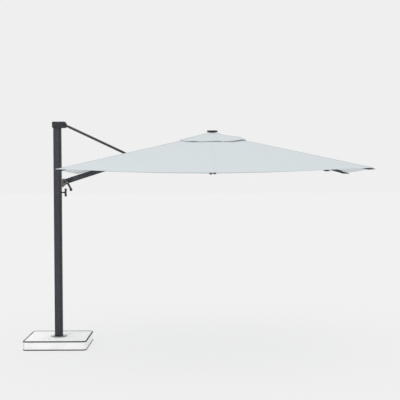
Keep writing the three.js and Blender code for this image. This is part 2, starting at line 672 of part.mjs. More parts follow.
// The heights of the cloth along one station, as [half side, height] from the crown outwards.
function mainLine(azimuth) {
  const hem = MID_Z + (CORNER_Z - MID_Z) * towardsCorner(azimuth);
  const start = APEX_Z - (APEX_Z - hem) * CLOTH_HOLE / HALF;
  if (azimuth === ARM_SIDE) {
    return [[CLOTH_HOLE, RIDGE.crownZ], [RIDGE.run, RIDGE.z], [HALF, hem]];
  }
  return [[CLOTH_HOLE, start], [RIDGE.run, APEX_Z - (APEX_Z - hem) * RIDGE.run / HALF], [HALF, hem]];
}

function ventLine(azimuth) {
  const plain = VENT.midZ + (VENT.cornerZ - VENT.midZ) * towardsCorner(azimuth);
  return [[CLOTH_HOLE, VENT.inner], [VENT.half, azimuth === ARM_SIDE ? VENT.armSideZ : plain]];
}

// The band at the crown that joins the vent to the main cloth.
function bandLine() {
  return [[CLOTH_HOLE, VENT.inner - 0.2], [CLOTH_HOLE + BAND.width, VENT.inner - 0.2]];
}

// A sheet over three neighbouring stations. Its outer stations are inset from the next panel.
function sheetOver(stations, lineOf, thickness) {
  const insets = [GAP, 0, -GAP];
  const lines = stations.map(lineOf);
  const rows = lines[0].length;
  const points = lines.flatMap((line, i) => (
    line.map(([half, z]) => [...onSquare(half, stations[i], insets[i]), z])
  ));
  const triangles = [];
  for (let i = 0; i < stations.length - 1; i += 1) {
    for (let j = 0; j < rows - 1; j += 1) {
      const a = i * rows + j;
      const b = a + rows;
      triangles.push(...(i === 0 ? [[a, a + 1, b + 1], [a, b + 1, b]] : [[a, a + 1, b], [a + 1, b + 1, b]]));
    }
  }
  return sheetSolid(points, triangles, thickness);
}

// Each rib carries the cloth on both sides of it, as far as the next gore line.
function clothPanel(rib) {
  const stations = stationsOf(rib);
  const panel = join(
    sheetOver(stations, mainLine, CLOTH),
    sheetOver(stations, ventLine, CLOTH),
    sheetOver(stations, bandLine, BAND.height),
  );
  const x = TIE_LOW.x - HUB_X;
  const lugSlit = box(x - SLIT.back, x + SLIT.front, -SLIT.half, SLIT.half, TIE_LOW.z - 100, TIE_LOW.z + 100);
  return stations.includes(ARM_SIDE) ? cut(panel, lugSlit) : panel;
}

for (const rib of RIBS) {
  add(`canopy_${rib.name}`, clothPanel(rib), cloth, hub);
}

export default parasol;
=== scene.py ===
"""A cantilever parasol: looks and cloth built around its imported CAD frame. Metres, +Z up."""

import json
import math

import bmesh
import bpy
from mathutils import Matrix, Vector, noise


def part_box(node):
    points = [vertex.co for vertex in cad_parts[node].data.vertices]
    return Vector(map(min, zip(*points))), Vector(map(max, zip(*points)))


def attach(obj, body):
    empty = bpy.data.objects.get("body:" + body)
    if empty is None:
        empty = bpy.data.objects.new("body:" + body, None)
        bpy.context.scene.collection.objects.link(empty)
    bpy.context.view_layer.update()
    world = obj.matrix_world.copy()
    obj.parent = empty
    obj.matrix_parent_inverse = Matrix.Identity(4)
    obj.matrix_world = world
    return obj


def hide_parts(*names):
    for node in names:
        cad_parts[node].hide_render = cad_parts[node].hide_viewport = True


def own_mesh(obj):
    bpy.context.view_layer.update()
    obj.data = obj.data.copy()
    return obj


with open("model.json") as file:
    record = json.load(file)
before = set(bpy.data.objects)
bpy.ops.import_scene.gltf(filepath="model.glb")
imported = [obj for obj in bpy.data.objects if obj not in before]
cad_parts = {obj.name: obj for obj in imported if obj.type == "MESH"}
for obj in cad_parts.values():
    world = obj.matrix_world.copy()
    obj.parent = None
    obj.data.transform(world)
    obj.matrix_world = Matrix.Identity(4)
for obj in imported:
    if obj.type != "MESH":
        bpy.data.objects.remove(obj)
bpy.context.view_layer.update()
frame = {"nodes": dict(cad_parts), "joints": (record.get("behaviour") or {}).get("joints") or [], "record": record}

# ---- Driving dimensions ----------------------------------------------------------------------

HUB_X = sum(corner.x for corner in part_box("centre_post")) / 2
HALF = 1.5  # half the canopy's side
APEX_Z = 2.338
MID_Z = 1.900
CORNER_Z = 1.940
RIDGE_RUN = 0.215
RIDGE_Z = 2.304
RIDGE_CROWN_Z = 2.330
VENT_HALF = 0.356
VENT_INNER_Z = 2.352
VENT_MID_Z = 2.2385
VENT_CORNER_Z = 2.2480
VENT_ARM_Z = 2.275

CLOTH = 0.0008
HEM_WIDTH = 0.026
HEM_EXTRA = 0.0007  # on each side, where the hem is folded over
MAIN_START = 0.150  # the main cloth begins under the vent, as a share of the half side
VENT_START = 0.0175
HALF_COLUMNS = 24  # faces across half a panel
SMALL_STEP = 0.004
GORE_SAG = 0.017
ARM_SIDE_SAG = 0.008
HEM_SCALLOP = 0.007
RIPPLE = 0.0022
TIP_FOLD = 0.0016
TIP_FOLD_REACH = 0.16
VENT_WAVE = 0.003
VENT_RIPPLE = 0.0015
VENT_PUFF = 0.022  # how far the vent billows on the side away from the mast
VENT_DIP = 0.35  # how far it dips nearer the cap, as a share of the puff
TAPE = 0.0006
TAPE_LIFT = 0.0008
TAPE_OFFSETS = (-0.010, -0.009, 0.0, 0.009, 0.010)
SLIT_HALF = 0.0085
SLIT_AT = (HUB_X - 0.783) / HALF
SLIT_SPREAD = 0.035
# The shares of its width that a main panel and its vent panel keep when the canopy is furled: enough
# to lap over the next rib's panel, and beside the arm, where no rib hangs, to reach its middle.
FURLED_MID = (0.45, 0.62)
FURLED_CORNER = (0.42, 0.58)
FURLED_BESIDE_ARM = (0.205, 0.48)
# Flat sizes the panels are cut to, across and along their rib, for the main cloth and the vent.
CUT_MID = ((1.52, 1.36), (0.38, 0.37))
CUT_CORNER = ((1.08, 1.86), (0.27, 0.49))
CUT_HALF_CORNER = ((0.55, 1.86), (0.14, 0.49))
CUT_BESIDE_ARM = ((1.08, 1.86), (0.27, 0.49))

GORE = math.degrees(math.atan(0.5))
ARM_SIDE = 180
RIBS = {
    "right": 0,
    "back_right": 45,
    "back": 90,
    "back_left": 135,
    "front_left": 225,
    "front": 270,
    "front_right": 315,
}
RIB_PIVOT_RADIUS = 0.060
RIB_PIVOT_Z = 2.305
RIB_HALF_HEIGHT = 0.012
RUNNER_PIN_Z = 1.975
STRAP_SHARES = (0.52, 0.72, 0.90)  # along the rib
STRAP = 0.0012
STRAP_WIDTH = 0.025
STRAP_LOOP = (0.0156, 0.0246)  # across the rib and down it
FORK_PIN = Vector((0.770, 0, 2.1129))

FLOOR_COLOR = (0.22, 0.22, 0.22)
FLOOR_GLOW = 0.664
BACKDROP = 0.865  # the world's strength at the horizon, and the one overhead
OVERHEAD = 1.06
KEY_POWER = 90
BACK_POWER = 40
CAMERA_PLACE = Vector((1.571, -10.18, 1.866))
CAMERA_LENS = 82.9
CAMERA_PITCH = math.radians(90 - 1.473)
CAMERA_ROLL = math.radians(-0.255)


# ---- Camera ----------------------------------------------------------------------------------


def make_camera():
    """The camera at the photograph's viewpoint, just right of the middle and at eye height."""
    data = bpy.data.cameras.new("camera")
    data.lens = CAMERA_LENS
    data.sensor_width = 36
    data.clip_end = 200
    camera = bpy.data.objects.new("camera", data)
    turn = Matrix.Rotation(CAMERA_PITCH, 4, "X") @ Matrix.Rotation(CAMERA_ROLL, 4, "Z")
    camera.matrix_world = Matrix.Translation(CAMERA_PLACE) @ turn
    bpy.context.scene.collection.objects.link(camera)
    bpy.context.scene.camera = camera


# ---- Material helpers ------------------------------------------------------------------------


class Paint:
    """A node material being built: a Principled shader and short calls to wire nodes into it."""

    def __init__(self, name, color, roughness, metallic=0.0, specular=0.5):
        self.material = bpy.data.materials.new(name)
        self.material.use_nodes = True
        self.nodes = self.material.node_tree.nodes
        self.links = self.material.node_tree.links
        self.shader = self.nodes["Principled BSDF"]
        self.shader.inputs["Base Color"].default_value = (*color, 1)
        self.shader.inputs["Roughness"].default_value = roughness
        self.shader.inputs["Metallic"].default_value = metallic
        self.shader.inputs["Specular IOR Level"].default_value = specular
        self.material.diffuse_color = (*color, 1)
        self.place = self.add("ShaderNodeTexCoord").outputs["Object"]
        self.bumps = None

    def add(self, kind, **settings):
        node = self.nodes.new(kind)
        for key, value in settings.items():
            setattr(node, key, value)
        return node

    def wire(self, output, node, socket):
        self.links.new(output, node.inputs[socket])

    def stretched(self, scale):
        """Object coordinates scaled along each axis, for a grain that runs one way."""
        node = self.add("ShaderNodeMapping")
        node.inputs["Scale"].default_value = scale
        self.wire(self.place, node, "Vector")
        return node.outputs["Vector"]

    def noise(self, scale, detail=3.0, rough=0.5, place=None):
        node = self.add("ShaderNodeTexNoise")
        node.inputs["Scale"].default_value = scale
        node.inputs["Detail"].default_value = detail
        node.inputs["Roughness"].default_value = rough
        self.wire(place or self.place, node, "Vector")
        return node.outputs["Fac"]

    def cells(self, scale):
        node = self.add("ShaderNodeTexVoronoi")
        node.inputs["Scale"].default_value = scale
        self.wire(self.place, node, "Vector")
        return node.outputs

    def threads(self, scale, axis, place=None):
        node = self.add("ShaderNodeTexWave", wave_type="BANDS", bands_direction=axis)
        node.inputs["Scale"].default_value = scale
        node.inputs["Distortion"].default_value = 0.4
        node.inputs["Detail"].default_value = 1.0
        self.wire(place or self.place, node, "Vector")
        return node.outputs["Fac"]

    def between(self, value, low, high, at_low=0.0, at_high=1.0):
        """Maps low..high to at_low..at_high, and holds beyond them."""
        node = self.add("ShaderNodeMapRange")
        node.inputs["From Min"].default_value = low
        node.inputs["From Max"].default_value = high
        node.inputs["To Min"].default_value = at_low
        node.inputs["To Max"].default_value = at_high
        self.wire(value, node, "Value")
        return node.outputs["Result"]

    def math(self, operation, first, second=0.0):
        node = self.add("ShaderNodeMath", operation=operation)
        for index, value in enumerate((first, second)):
            if isinstance(value, (int, float)):
                node.inputs[index].default_value = value
            else:
                self.links.new(value, node.inputs[index])
        return node.outputs["Value"]

    def mix(self, factor, first, second):
        """A colour between two, each a colour or another mix's output."""
        node = self.add("ShaderNodeMix", data_type="RGBA")
        self.links.new(factor, node.inputs[0])
        for index, value in ((6, first), (7, second)):
            if isinstance(value, tuple):
                node.inputs[index].default_value = (*value, 1)
            else:
                self.links.new(value, node.inputs[index])
        return node.outputs[2]

    def worn_edges(self):
        """A mask of the sharp convex edges, broken up where the coat has held."""
        pointiness = self.add("ShaderNodeNewGeometry").outputs["Pointiness"]
        patchy = self.between(self.noise(60, 4), 0.42, 0.62)
        return self.math("MULTIPLY", self.between(pointiness, 0.51, 0.56), patchy)

    def color(self, output):
        self.wire(output, self.shader, "Base Color")

    def roughness(self, output):
        self.wire(output, self.shader, "Roughness")

    def bump(self, height, distance, strength=1.0):
        """Adds a relief on top of those that are there already."""
        node = self.add("ShaderNodeBump")
        node.inputs["Distance"].default_value = distance
        node.inputs["Strength"].default_value = strength
        self.wire(height, node, "Height")
        if self.bumps:
            self.wire(self.bumps, node, "Normal")
        self.bumps = node.outputs["Normal"]
        self.wire(self.bumps, self.shader, "Normal")


def shade(color, factor):
    return tuple(min(1.0, channel * factor) for channel in color)


def powder_coat(name, color, roughness):
    """Satin powder coat: orange peel, faint clouding and rubbed edges."""
    paint = Paint(name, color, roughness, specular=0.2)
    clouds = paint.between(paint.noise(7, 4), 0.35, 0.65)
    body = paint.mix(clouds, shade(color, 0.9), shade(color, 1.1))
    sparkle = paint.between(paint.noise(2600, 1), 0.66, 0.74, 0.0, 0.2)
    body = paint.mix(sparkle, body, shade(color, 1.9))
    paint.color(paint.mix(paint.worn_edges(), body, shade(color, 1.7)))
    paint.roughness(paint.between(paint.noise(35, 5), 0.3, 0.7, roughness - 0.06, roughness + 0.08))
    paint.bump(paint.noise(900, 2), 0.00012, 0.3)
    return paint.material


def moulded(name, color, roughness):
    """Moulded plastic with a fine spark-eroded grain and slightly polished handling marks."""
    paint = Paint(name, color, roughness, specular=0.5)
    blotches = paint.between(paint.noise(24, 5), 0.35, 0.7)
    paint.color(paint.mix(blotches, shade(color, 0.85), shade(color, 1.25)))
    paint.roughness(paint.between(paint.noise(50, 4), 0.35, 0.65, roughness - 0.1, roughness + 0.08))
    paint.bump(paint.cells(1400)["Distance"], 0.00008, 0.7)
    return paint.material


def galvanised(name):
    """Zinc-plated steel with a spangle and a light brushed grain."""
    color = (0.42, 0.43, 0.45)
    paint = Paint(name, color, 0.36, metallic=0.95)
    spangle = paint.add("ShaderNodeSeparateColor")
    paint.wire(paint.cells(260)["Color"], spangle, "Color")
    paint.color(paint.mix(spangle.outputs["Red"], shade(color, 0.82), shade(color, 1.15)))
    grain = paint.noise(400, 3, place=paint.stretched((1, 1, 14)))
    paint.roughness(paint.between(grain, 0.3, 0.7, 0.28, 0.46))
    paint.bump(grain, 0.00005, 0.5)
    return paint.material


def cast_concrete(name):
    """Pale cast concrete: fine aggregate, pinholes and faint water marks."""
    color = (0.965, 0.965, 0.96)
    paint = Paint(name, color, 0.85, specular=0.3)
    marks = paint.between(paint.noise(5, 6, 0.6), 0.4, 0.7)
    body = paint.mix(marks, shade(color, 1.03), shade(color, 0.95))
    grit = paint.between(paint.noise(420, 2), 0.6, 0.72, 0.0, 0.4)
    body = paint.mix(grit, body, shade(color, 0.78))
    pinholes = paint.between(paint.cells(95)["Distance"], 0.05, 0.10, 1.0, 0.0)
    rare = paint.math("MULTIPLY", pinholes, paint.between(paint.noise(30, 2), 0.55, 0.6))
    # Painted shade: the pinholes are painted darker for the shade inside them, and the bump below dents them as
    # real holes.
    paint.color(paint.mix(rare, body, shade(color, 0.55)))
    paint.bump(paint.noise(300, 4), 0.0003, 0.4)
    paint.bump(paint.math("SUBTRACT", 1.0, rare), 0.0008, 0.8)
    return paint.material


def woven(name, color, stitched=False):
    """Solution-dyed canvas: crossed threads, slubs, faint soiling, and stitch rows where it is sewn."""
    paint = Paint(name, color, 0.92, specular=0.2)
    paint.shader.inputs["Sheen Weight"].default_value = 0.15
    paint.shader.inputs["Sheen Roughness"].default_value = 0.5
    warp = paint.threads(170, "X")
    weft = paint.threads(170, "Y")
    weave = paint.math("MULTIPLY", warp, weft)
    slubs = paint.between(paint.noise(90, 4, place=paint.stretched((1, 7, 1))), 0.4, 0.68)
    body = paint.mix(weave, shade(color, 0.94), shade(color, 1.03))
    body = paint.mix(slubs, body, shade(color, 0.965))
    soiling = paint.between(paint.noise(2.2, 5, 0.6), 0.45, 0.75)
    body = paint.mix(soiling, body, shade(color, 0.955))
    if stitched:
        body = add_stitches(paint, body, color)
    paint.color(body)
    paint.bump(weave, 0.0002, 0.35)
    paint.bump(slubs, 0.0002, 0.2)
    return paint.material


def add_stitches(paint, body, color):
    """Two rows of stitches along U, with V across from the tape's middle, both in metres."""
    place = paint.add("ShaderNodeSeparateXYZ")
    paint.wire(paint.add("ShaderNodeUVMap").outputs["UV"], place, "Vector")
    stitches_per_metre = 280.0
    stitch_share = 0.68
    row_offset = 0.0075
    dash = paint.math("FRACT", paint.math("MULTIPLY", place.outputs["X"], stitches_per_metre))
    dash = paint.math("LESS_THAN", dash, stitch_share)
    from_middle = paint.math("ABSOLUTE", place.outputs["Y"])
    from_row = paint.math("ABSOLUTE", paint.math("SUBTRACT", from_middle, row_offset))
    thread = paint.math("MULTIPLY", paint.between(from_row, 0.0004, 0.0008, 1.0, 0.0), dash)
    paint.bump(thread, 0.0006, 0.9)
    return paint.mix(thread, body, shade(color, 1.12))


# ---- Materials -------------------------------------------------------------------------------

anthracite = powder_coat("anthracite_powder_coat", (0.042, 0.046, 0.055), 0.55)
dark_casting = powder_coat("dark_casting", (0.032, 0.035, 0.041), 0.55)
grey_casting = powder_coat("grey_casting", (0.125, 0.115, 0.115), 0.5)
black_plastic = moulded("black_plastic", (0.012, 0.014, 0.017), 0.45)
nylon = moulded("natural_nylon", (0.62, 0.62, 0.58), 0.5)
rubber = moulded("grey_rubber", (0.035, 0.035, 0.037), 0.75)
black_oxide = powder_coat("black_oxide", (0.02, 0.021, 0.024), 0.4)
steel = galvanised("galvanised_steel")
concrete = cast_concrete("pale_concrete")
CLOTH_COLOR = (0.648, 0.703, 0.726)
canvas = woven("canvas", CLOTH_COLOR)
canvas_seam = woven("canvas_seam", shade(CLOTH_COLOR, 1.03), stitched=True)
webbing = woven("webbing", (0.10, 0.105, 0.115), stitched=True)

SLOT_MATERIALS = {
    "anthracite_profile": anthracite,
    "dark_casting": dark_casting,
    "grey_casting": grey_casting,
    "black_plastic": black_plastic,
    "nylon": nylon,
    "steel": steel,
    "pale_concrete": concrete,
    "canopy_cloth": canvas,
}


# ---- CAD nodes: finish and softened edges ----------------------------------------------------


def smooth_by_angle(limit):
    """A node group that drops imported normals and smooths across every edge flatter than limit."""
    tree = bpy.data.node_groups.new("smooth_by_angle", "GeometryNodeTree")
    tree.interface.new_socket("Geometry", in_out="INPUT", socket_type="NodeSocketGeometry")
    tree.interface.new_socket("Geometry", in_out="OUTPUT", socket_type="NodeSocketGeometry")
    source = tree.nodes.new("NodeGroupInput")
    result = tree.nodes.new("NodeGroupOutput")
    bare = tree.nodes.new("GeometryNodeRemoveAttribute")
    bare.inputs["Name"].default_value = "custom_normal"
    angle = tree.nodes.new("GeometryNodeInputMeshEdgeAngle")
    compare = tree.nodes.new("FunctionNodeCompare")
    compare.operation = "LESS_THAN"
    compare.inputs["B"].default_value = limit
    faces = tree.nodes.new("GeometryNodeSetShadeSmooth")
    edges = tree.nodes.new("GeometryNodeSetShadeSmooth")
    edges.domain = "EDGE"
    tree.links.new(source.outputs[0], bare.inputs["Geometry"])
    tree.links.new(bare.outputs["Geometry"], faces.inputs["Geometry"])
    tree.links.new(faces.outputs["Geometry"], edges.inputs["Geometry"])
    tree.links.new(angle.outputs["Unsigned Angle"], compare.inputs["A"])
    tree.links.new(compare.outputs["Result"], edges.inputs["Shade Smooth"])
    tree.links.new(edges.outputs["Geometry"], result.inputs[0])
    return tree


SMOOTH = smooth_by_angle(math.radians(34))
SMOOTH_CLOTH = smooth_by_angle(math.radians(8))
FINE_EDGE = 0.0007
WIDE_EDGES = {
    "base_slab": 0.004,
    "mast_head": 0.0025,
    "finial": 0.002,
    "runner": 0.0015,
    "locking_handle": 0.001,
}


def smooth_faces(piece, group):
    smooth = piece.modifiers.new("smooth", "NODES")
    smooth.node_group = group


def soften(piece, width):
    """Welds a CAD mesh and rounds its sharp edges."""
    weld = piece.modifiers.new("weld", "WELD")
    weld.merge_threshold = 0.00002
    bevel = piece.modifiers.new("soft_edges", "BEVEL")
    bevel.width = width
    bevel.segments = 2
    bevel.limit_method = "ANGLE"
    bevel.angle_limit = math.radians(38)
    bevel.use_clamp_overlap = True
    smooth_faces(piece, SMOOTH)


def finish_nodes():
    """Gives every CAD node its material, and every hard one its rounded edges."""
    for entry in frame["record"]["subparts"]:
        node = frame["nodes"][entry["node"]]
        node.data.materials.clear()
        node.data.materials.append(SLOT_MATERIALS[entry["material_slot"]])
        if not entry["node"].startswith("canopy_"):
            soften(node, WIDE_EDGES.get(entry["node"], FINE_EDGE))


# ---- Mesh helpers ----------------------------------------------------------------------------


def piece_from(name, vertices, faces, material, uvs=None):
    mesh = bpy.data.meshes.new(name)
    mesh.from_pydata(vertices, [], faces)
    mesh.materials.append(material)
    if uvs:
        layer = mesh.uv_layers.new(name="UVMap")
        for loop in mesh.loops:
            layer.data[loop.index].uv = uvs[loop.vertex_index]
    mesh.update()
    piece = bpy.data.objects.new(name, mesh)
    smooth_faces(piece, SMOOTH_CLOTH)
    bpy.context.scene.collection.objects.link(piece)
    return piece


def shell(name, grid, normals, thickness, material, uvs=None):
    """A closed thin shell: a grid of top points, and its underside a thickness below them."""
    rows, columns = len(grid), len(grid[0])
    top = [point for row in grid for point in row]
    flat_normals = [normal for row in normals for normal in row]
    flat_thickness = [value for row in thickness for value in row]
    under = [p - n * t for p, n, t in zip(top, flat_normals, flat_thickness)]
    count = len(top)
    faces = []
    for i in range(rows - 1):
        for j in range(columns - 1):
            a = i * columns + j
            b = a + columns
            faces.append((a, b, b + 1, a + 1))
            faces.append((a + count, a + 1 + count, b + 1 + count, b + count))
    ring = list(range(columns))
    ring += [i * columns + columns - 1 for i in range(1, rows)]
    ring += [(rows - 1) * columns + j for j in range(columns - 2, -1, -1)]
    ring += [i * columns for i in range(rows - 2, 0, -1)]
    for a, b in zip(ring, ring[1:] + ring[:1]):
        faces.append((a, b, b + count, a + count))
    all_uvs = None
    if uvs:
        all_uvs = [uv for row in uvs for uv in row] * 2
    return piece_from(name, top + under, faces, material, all_uvs)


def from_bmesh(name, build, material, smooth=False):
    form = bmesh.new()
    build(form)
    bmesh.ops.recalc_face_normals(form, faces=form.faces)
    mesh = bpy.data.meshes.new(name)
    form.to_mesh(mesh)
    form.free()
    mesh.materials.append(material)
    mesh.polygons.foreach_set("use_smooth", [smooth] * len(mesh.polygons))
    piece = bpy.data.objects.new(name, mesh)
    bpy.context.scene.collection.objects.link(piece)
    return piece


def turned_ring(form, profile, place, sides=24):
    """Adds a solid of revolution: profile is (radius, height) pairs, place maps +Z to its axis."""
    rings = []
    for radius, height in profile:
        ring = []
        for k in range(sides):
            angle = 2 * math.pi * k / sides
            point = Vector((radius * math.cos(angle), radius * math.sin(angle), height))
            ring.append(form.verts.new(place @ point))
        rings.append(ring)
    for low, high in zip(rings, rings[1:]):
        for k in range(sides):
            form.faces.new((low[k], low[(k + 1) % sides], high[(k + 1) % sides], high[k]))
    form.faces.new(list(reversed(rings[0])))
    form.faces.new(rings[-1])


def aimed(origin, direction):
    """A matrix that puts +Z along direction at origin."""
    turn = Vector(direction).normalized().to_track_quat("Z", "Y").to_matrix().to_4x4()
    return Matrix.Translation(Vector(origin)) @ turn


# ---- Canopy surface --------------------------------------------------------------------------


def stations_of(azimuth):
    """The directions of a panel's first edge, its rib and its last edge, in degrees."""
    reach = GORE if azimuth % 90 == 0 else 45 - GORE
    if azimuth == ARM_SIDE - 45:
        return azimuth - reach, azimuth, ARM_SIDE
    if azimuth == ARM_SIDE + 45:
        return ARM_SIDE, azimuth, azimuth + reach
    return azimuth - reach, azimuth, azimuth + reach


def towards_corner(azimuth):
    """0 at the middle of a side and 1 at a corner of the square."""
    offset = (azimuth + 45) % 90 - 45
    return abs(math.tan(math.radians(offset)))


def hem_point(azimuth):
    radius = HALF * math.hypot(1, towards_corner(azimuth))
    angle = math.radians(azimuth)
    return Vector((radius * math.cos(angle), radius * math.sin(angle)))


def main_height(azimuth, share):
    hem = MID_Z + (CORNER_Z - MID_Z) * towards_corner(azimuth)
    if azimuth != ARM_SIDE:
        return APEX_Z - (APEX_Z - hem) * share
    bend = RIDGE_RUN / HALF
    if share > bend:
        return RIDGE_Z + (hem - RIDGE_Z) * (share - bend) / (1 - bend)
    return RIDGE_CROWN_Z + (RIDGE_Z - RIDGE_CROWN_Z) * share / bend


def vent_height(azimuth, share):
    edge = VENT_MID_Z + (VENT_CORNER_Z - VENT_MID_Z) * towards_corner(azimuth)
    if azimuth == ARM_SIDE:
        edge = VENT_ARM_Z
    reach = VENT_HALF / HALF
    return VENT_INNER_Z + (edge - VENT_INNER_Z) * (share - VENT_START) / (reach - VENT_START)


def flat_point(stations, across, share, height):
    """A point of the flat gores. across runs from -1 at the first edge, through 0 at the rib, to 1."""
    first, last = (0, 1) if across < 0 else (1, 2)
    along = across + 1 if across < 0 else across
    plan = hem_point(stations[first]).lerp(hem_point(stations[last]), along) * share
    z = height(stations[first], share) * (1 - along) + height(stations[last], share) * along
    return plan, z


def beside_arm(stations, across):
    edge = stations[0] if across < 0 else stations[2]
    return edge == ARM_SIDE


def tip_folds(plan, stations):
    """Small pull lines that fan out from the rib's tip."""
    tip = hem_point(stations[1])
    away = plan - tip
    fan = math.sin(13 * math.atan2(away.y, away.x))
    return TIP_FOLD * fan * math.exp(-away.length / TIP_FOLD_REACH) * min(1.0, away.length / 0.05)


def sag_between_ribs(share):
    """How deep the cloth hangs between two ribs, as a share of the sag: most half way out."""
    return 2.6 * share * (1 - share) + 0.42 * share ** 2


def main_point(stations, across, share):
    """A point of the main cloth: slack between the ribs, opened round the tie rod's lug by the slit."""
    plan, z = flat_point(stations, across, share, main_height)
    spread = abs(across)
    bowl = sag_between_ribs(share)
    if beside_arm(stations, across):
        z -= ARM_SIDE_SAG * math.sin(math.pi * spread) ** 2 * bowl
        bump = math.exp(-(((share - SLIT_AT) * HALF / SLIT_SPREAD) ** 4))
        side = 1 if plan.y > 0 or (plan.y == 0 and stations[2] == ARM_SIDE) else -1
        plan = plan + Vector((0, side * SLIT_HALF * bump * spread ** 30))
        rise = max(0.0, 1 - spread)
    else:
        z -= GORE_SAG * math.sin(math.pi / 2 * spread) ** 1.4 * bowl
        plan = plan * (1 - HEM_SCALLOP * math.sin(math.pi / 2 * spread) ** 2 * share ** 3)
        rise = 1.0
    ripple = noise.noise(Vector((plan.x * 2.7, plan.y * 2.7, 3.1)))
    ripple += 0.5 * noise.noise(Vector((plan.x * 7.0, plan.y * 7.0, 8.4)))
    z += RIPPLE * ripple * math.sin(math.pi / 2 * spread) * rise
    z += tip_folds(plan, stations)
    return Vector((HUB_X + plan.x, plan.y, z))


def perimeter(stations, across):
    """Where a direction meets the square's edge: 0 on the right, 2 at the back, -2 at the front."""
    plan, _ = flat_point(stations, across, 1.0, vent_height)
    side = round(math.degrees(math.atan2(plan.y, plan.x)) / 90)
    local = math.atan2(plan.y, plan.x) - math.radians(90 * side)
    return 2 * side + math.tan(local)


def bell(value, middle, spread):
    return math.exp(-(((value - middle) / spread) ** 2))


def vent_point(stations, across, share):
    """A point of the vent: slack like the main cloth, with a waved hem and a puff to the right."""
    plan, z = flat_point(stations, across, share, vent_height)
    out = (share - VENT_START) / (VENT_HALF / HALF - VENT_START)
    side = perimeter(stations, across)
    turn = 2 * math.pi * side
    sag = ARM_SIDE_SAG if beside_arm(stations, across) else GORE_SAG
    z -= sag * math.sin(math.pi / 2 * abs(across)) ** 1.4 * sag_between_ribs(share)
    wave = 0.62 * math.sin(1.5 * turn + 0.6) + 0.38 * math.sin(2.75 * turn + 2.1)
    z += VENT_WAVE * (1 + wave) * out ** 2.2
    rightwards = math.exp(-((side / 1.4) ** 4))
    z += VENT_PUFF * rightwards * (bell(out, 0.80, 0.20) - VENT_DIP * bell(out, 0.25, 0.12))
    plan = plan * (1 + 0.012 * math.sin(1.5 * turn + 2.0) * out ** 2)
    z += VENT_RIPPLE * noise.noise(Vector((plan.x * 16, plan.y * 16, 1.7))) * out
    return Vector((HUB_X + plan.x, plan.y, z))


def surface_normal(point_at, stations, across, share, middle=0.0):
    """The upward normal, by small steps towards the piece's middle so that they stay on its surface."""
    sideways = -SMALL_STEP if across > middle else SMALL_STEP
    outwards = -SMALL_STEP if share > 0.5 else SMALL_STEP
    here = point_at(stations, across, share)
    along = point_at(stations, across + sideways, share) - here
    out = point_at(stations, across, share + outwards) - here
    normal = out.cross(along).normalized()
    return normal if normal.z > 0 else -normal


def panel(name, point_at, azimuth, span, shares, material):
    """One rib's part of a cloth layer with a thicker hem: all its width, or half from the rib on."""
    stations = stations_of(azimuth)
    first, last = span
    middle = (first + last) / 2
    columns = HALF_COLUMNS * (last - first) + 1
    acrosses = [first + j / HALF_COLUMNS for j in range(columns)]
    grid = []
    normals = []
    thickness = []
    for share in shares:
        row_normals = [surface_normal(point_at, stations, across, share, middle) for across in acrosses]
        if middle == 0:
            ridge = columns // 2
            row_normals[ridge] = (row_normals[ridge - 1] + row_normals[ridge + 1]).normalized()
        from_edge = min(shares[-1] - share, share - shares[0]) * HALF
        extra = HEM_EXTRA if from_edge < HEM_WIDTH - 0.0005 else 0.0
        row = [point_at(stations, across, share) for across in acrosses]
        grid.append([p + n * extra for p, n in zip(row, row_normals)])
        normals.append(row_normals)
        thickness.append([CLOTH + 2 * extra] * columns)
    return shell(name, grid, normals, thickness, material)


def hemmed(start, end, rows):
    """Even rows from start to end, with close pairs of rows where each hem steps down."""
    hem = HEM_WIDTH / HALF
    step = 0.0012 / HALF
    inner = [start, start + hem / 2, start + hem - step, start + hem]
    outer = [end - hem, end - hem + step, end - hem / 2, end]
    span = outer[0] - inner[-1]
    middle = [inner[-1] + span * k / (rows + 1) for k in range(1, rows + 1)]
    return inner + middle + outer


def declare_cloth(piece, name):
    """A sheet that turns with its rib, with a mesh of its own."""
    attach(piece, f"rib_{name}")
    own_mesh(piece)


def cuts_of(azimuth):
    """The pieces a rib's panel is cut in: each one's name, span across, flat sizes and furled shares."""
    if azimuth == ARM_SIDE - 45:
        return [
            ("", (-1, 0), CUT_HALF_CORNER, FURLED_CORNER),
            ("_arm_side", (0, 1), CUT_BESIDE_ARM, FURLED_BESIDE_ARM),
        ]
    if azimuth == ARM_SIDE + 45:
        return [
            ("", (0, 1), CUT_HALF_CORNER, FURLED_CORNER),
            ("_arm_side", (-1, 0), CUT_BESIDE_ARM, FURLED_BESIDE_ARM),
        ]
    if azimuth % 90 != 0:
        return [("", (-1, 1), CUT_CORNER, FURLED_CORNER)]
    return [("", (-1, 1), CUT_MID, FURLED_MID)]


def make_canopy():
    """The main cloth and the vent in their cut pieces, in place of the CAD's panels."""
    main_rows = hemmed(MAIN_START, 1.0, 44)
    vent_rows = hemmed(VENT_START, VENT_HALF / HALF, 14)
    for name, azimuth in RIBS.items():
        for suffix, span, cuts, furled in cuts_of(azimuth):
            main = panel(f"cloth_main_{name}{suffix}", main_point, azimuth, span, main_rows, canvas)
            vent = panel(f"cloth_vent_{name}{suffix}", vent_point, azimuth, span, vent_rows, canvas)
            declare_cloth(main, name)
            declare_cloth(vent, name)
            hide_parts(f"canopy_{name}")


# ---- Seams, straps and other sewn parts ------------------------------------------------------


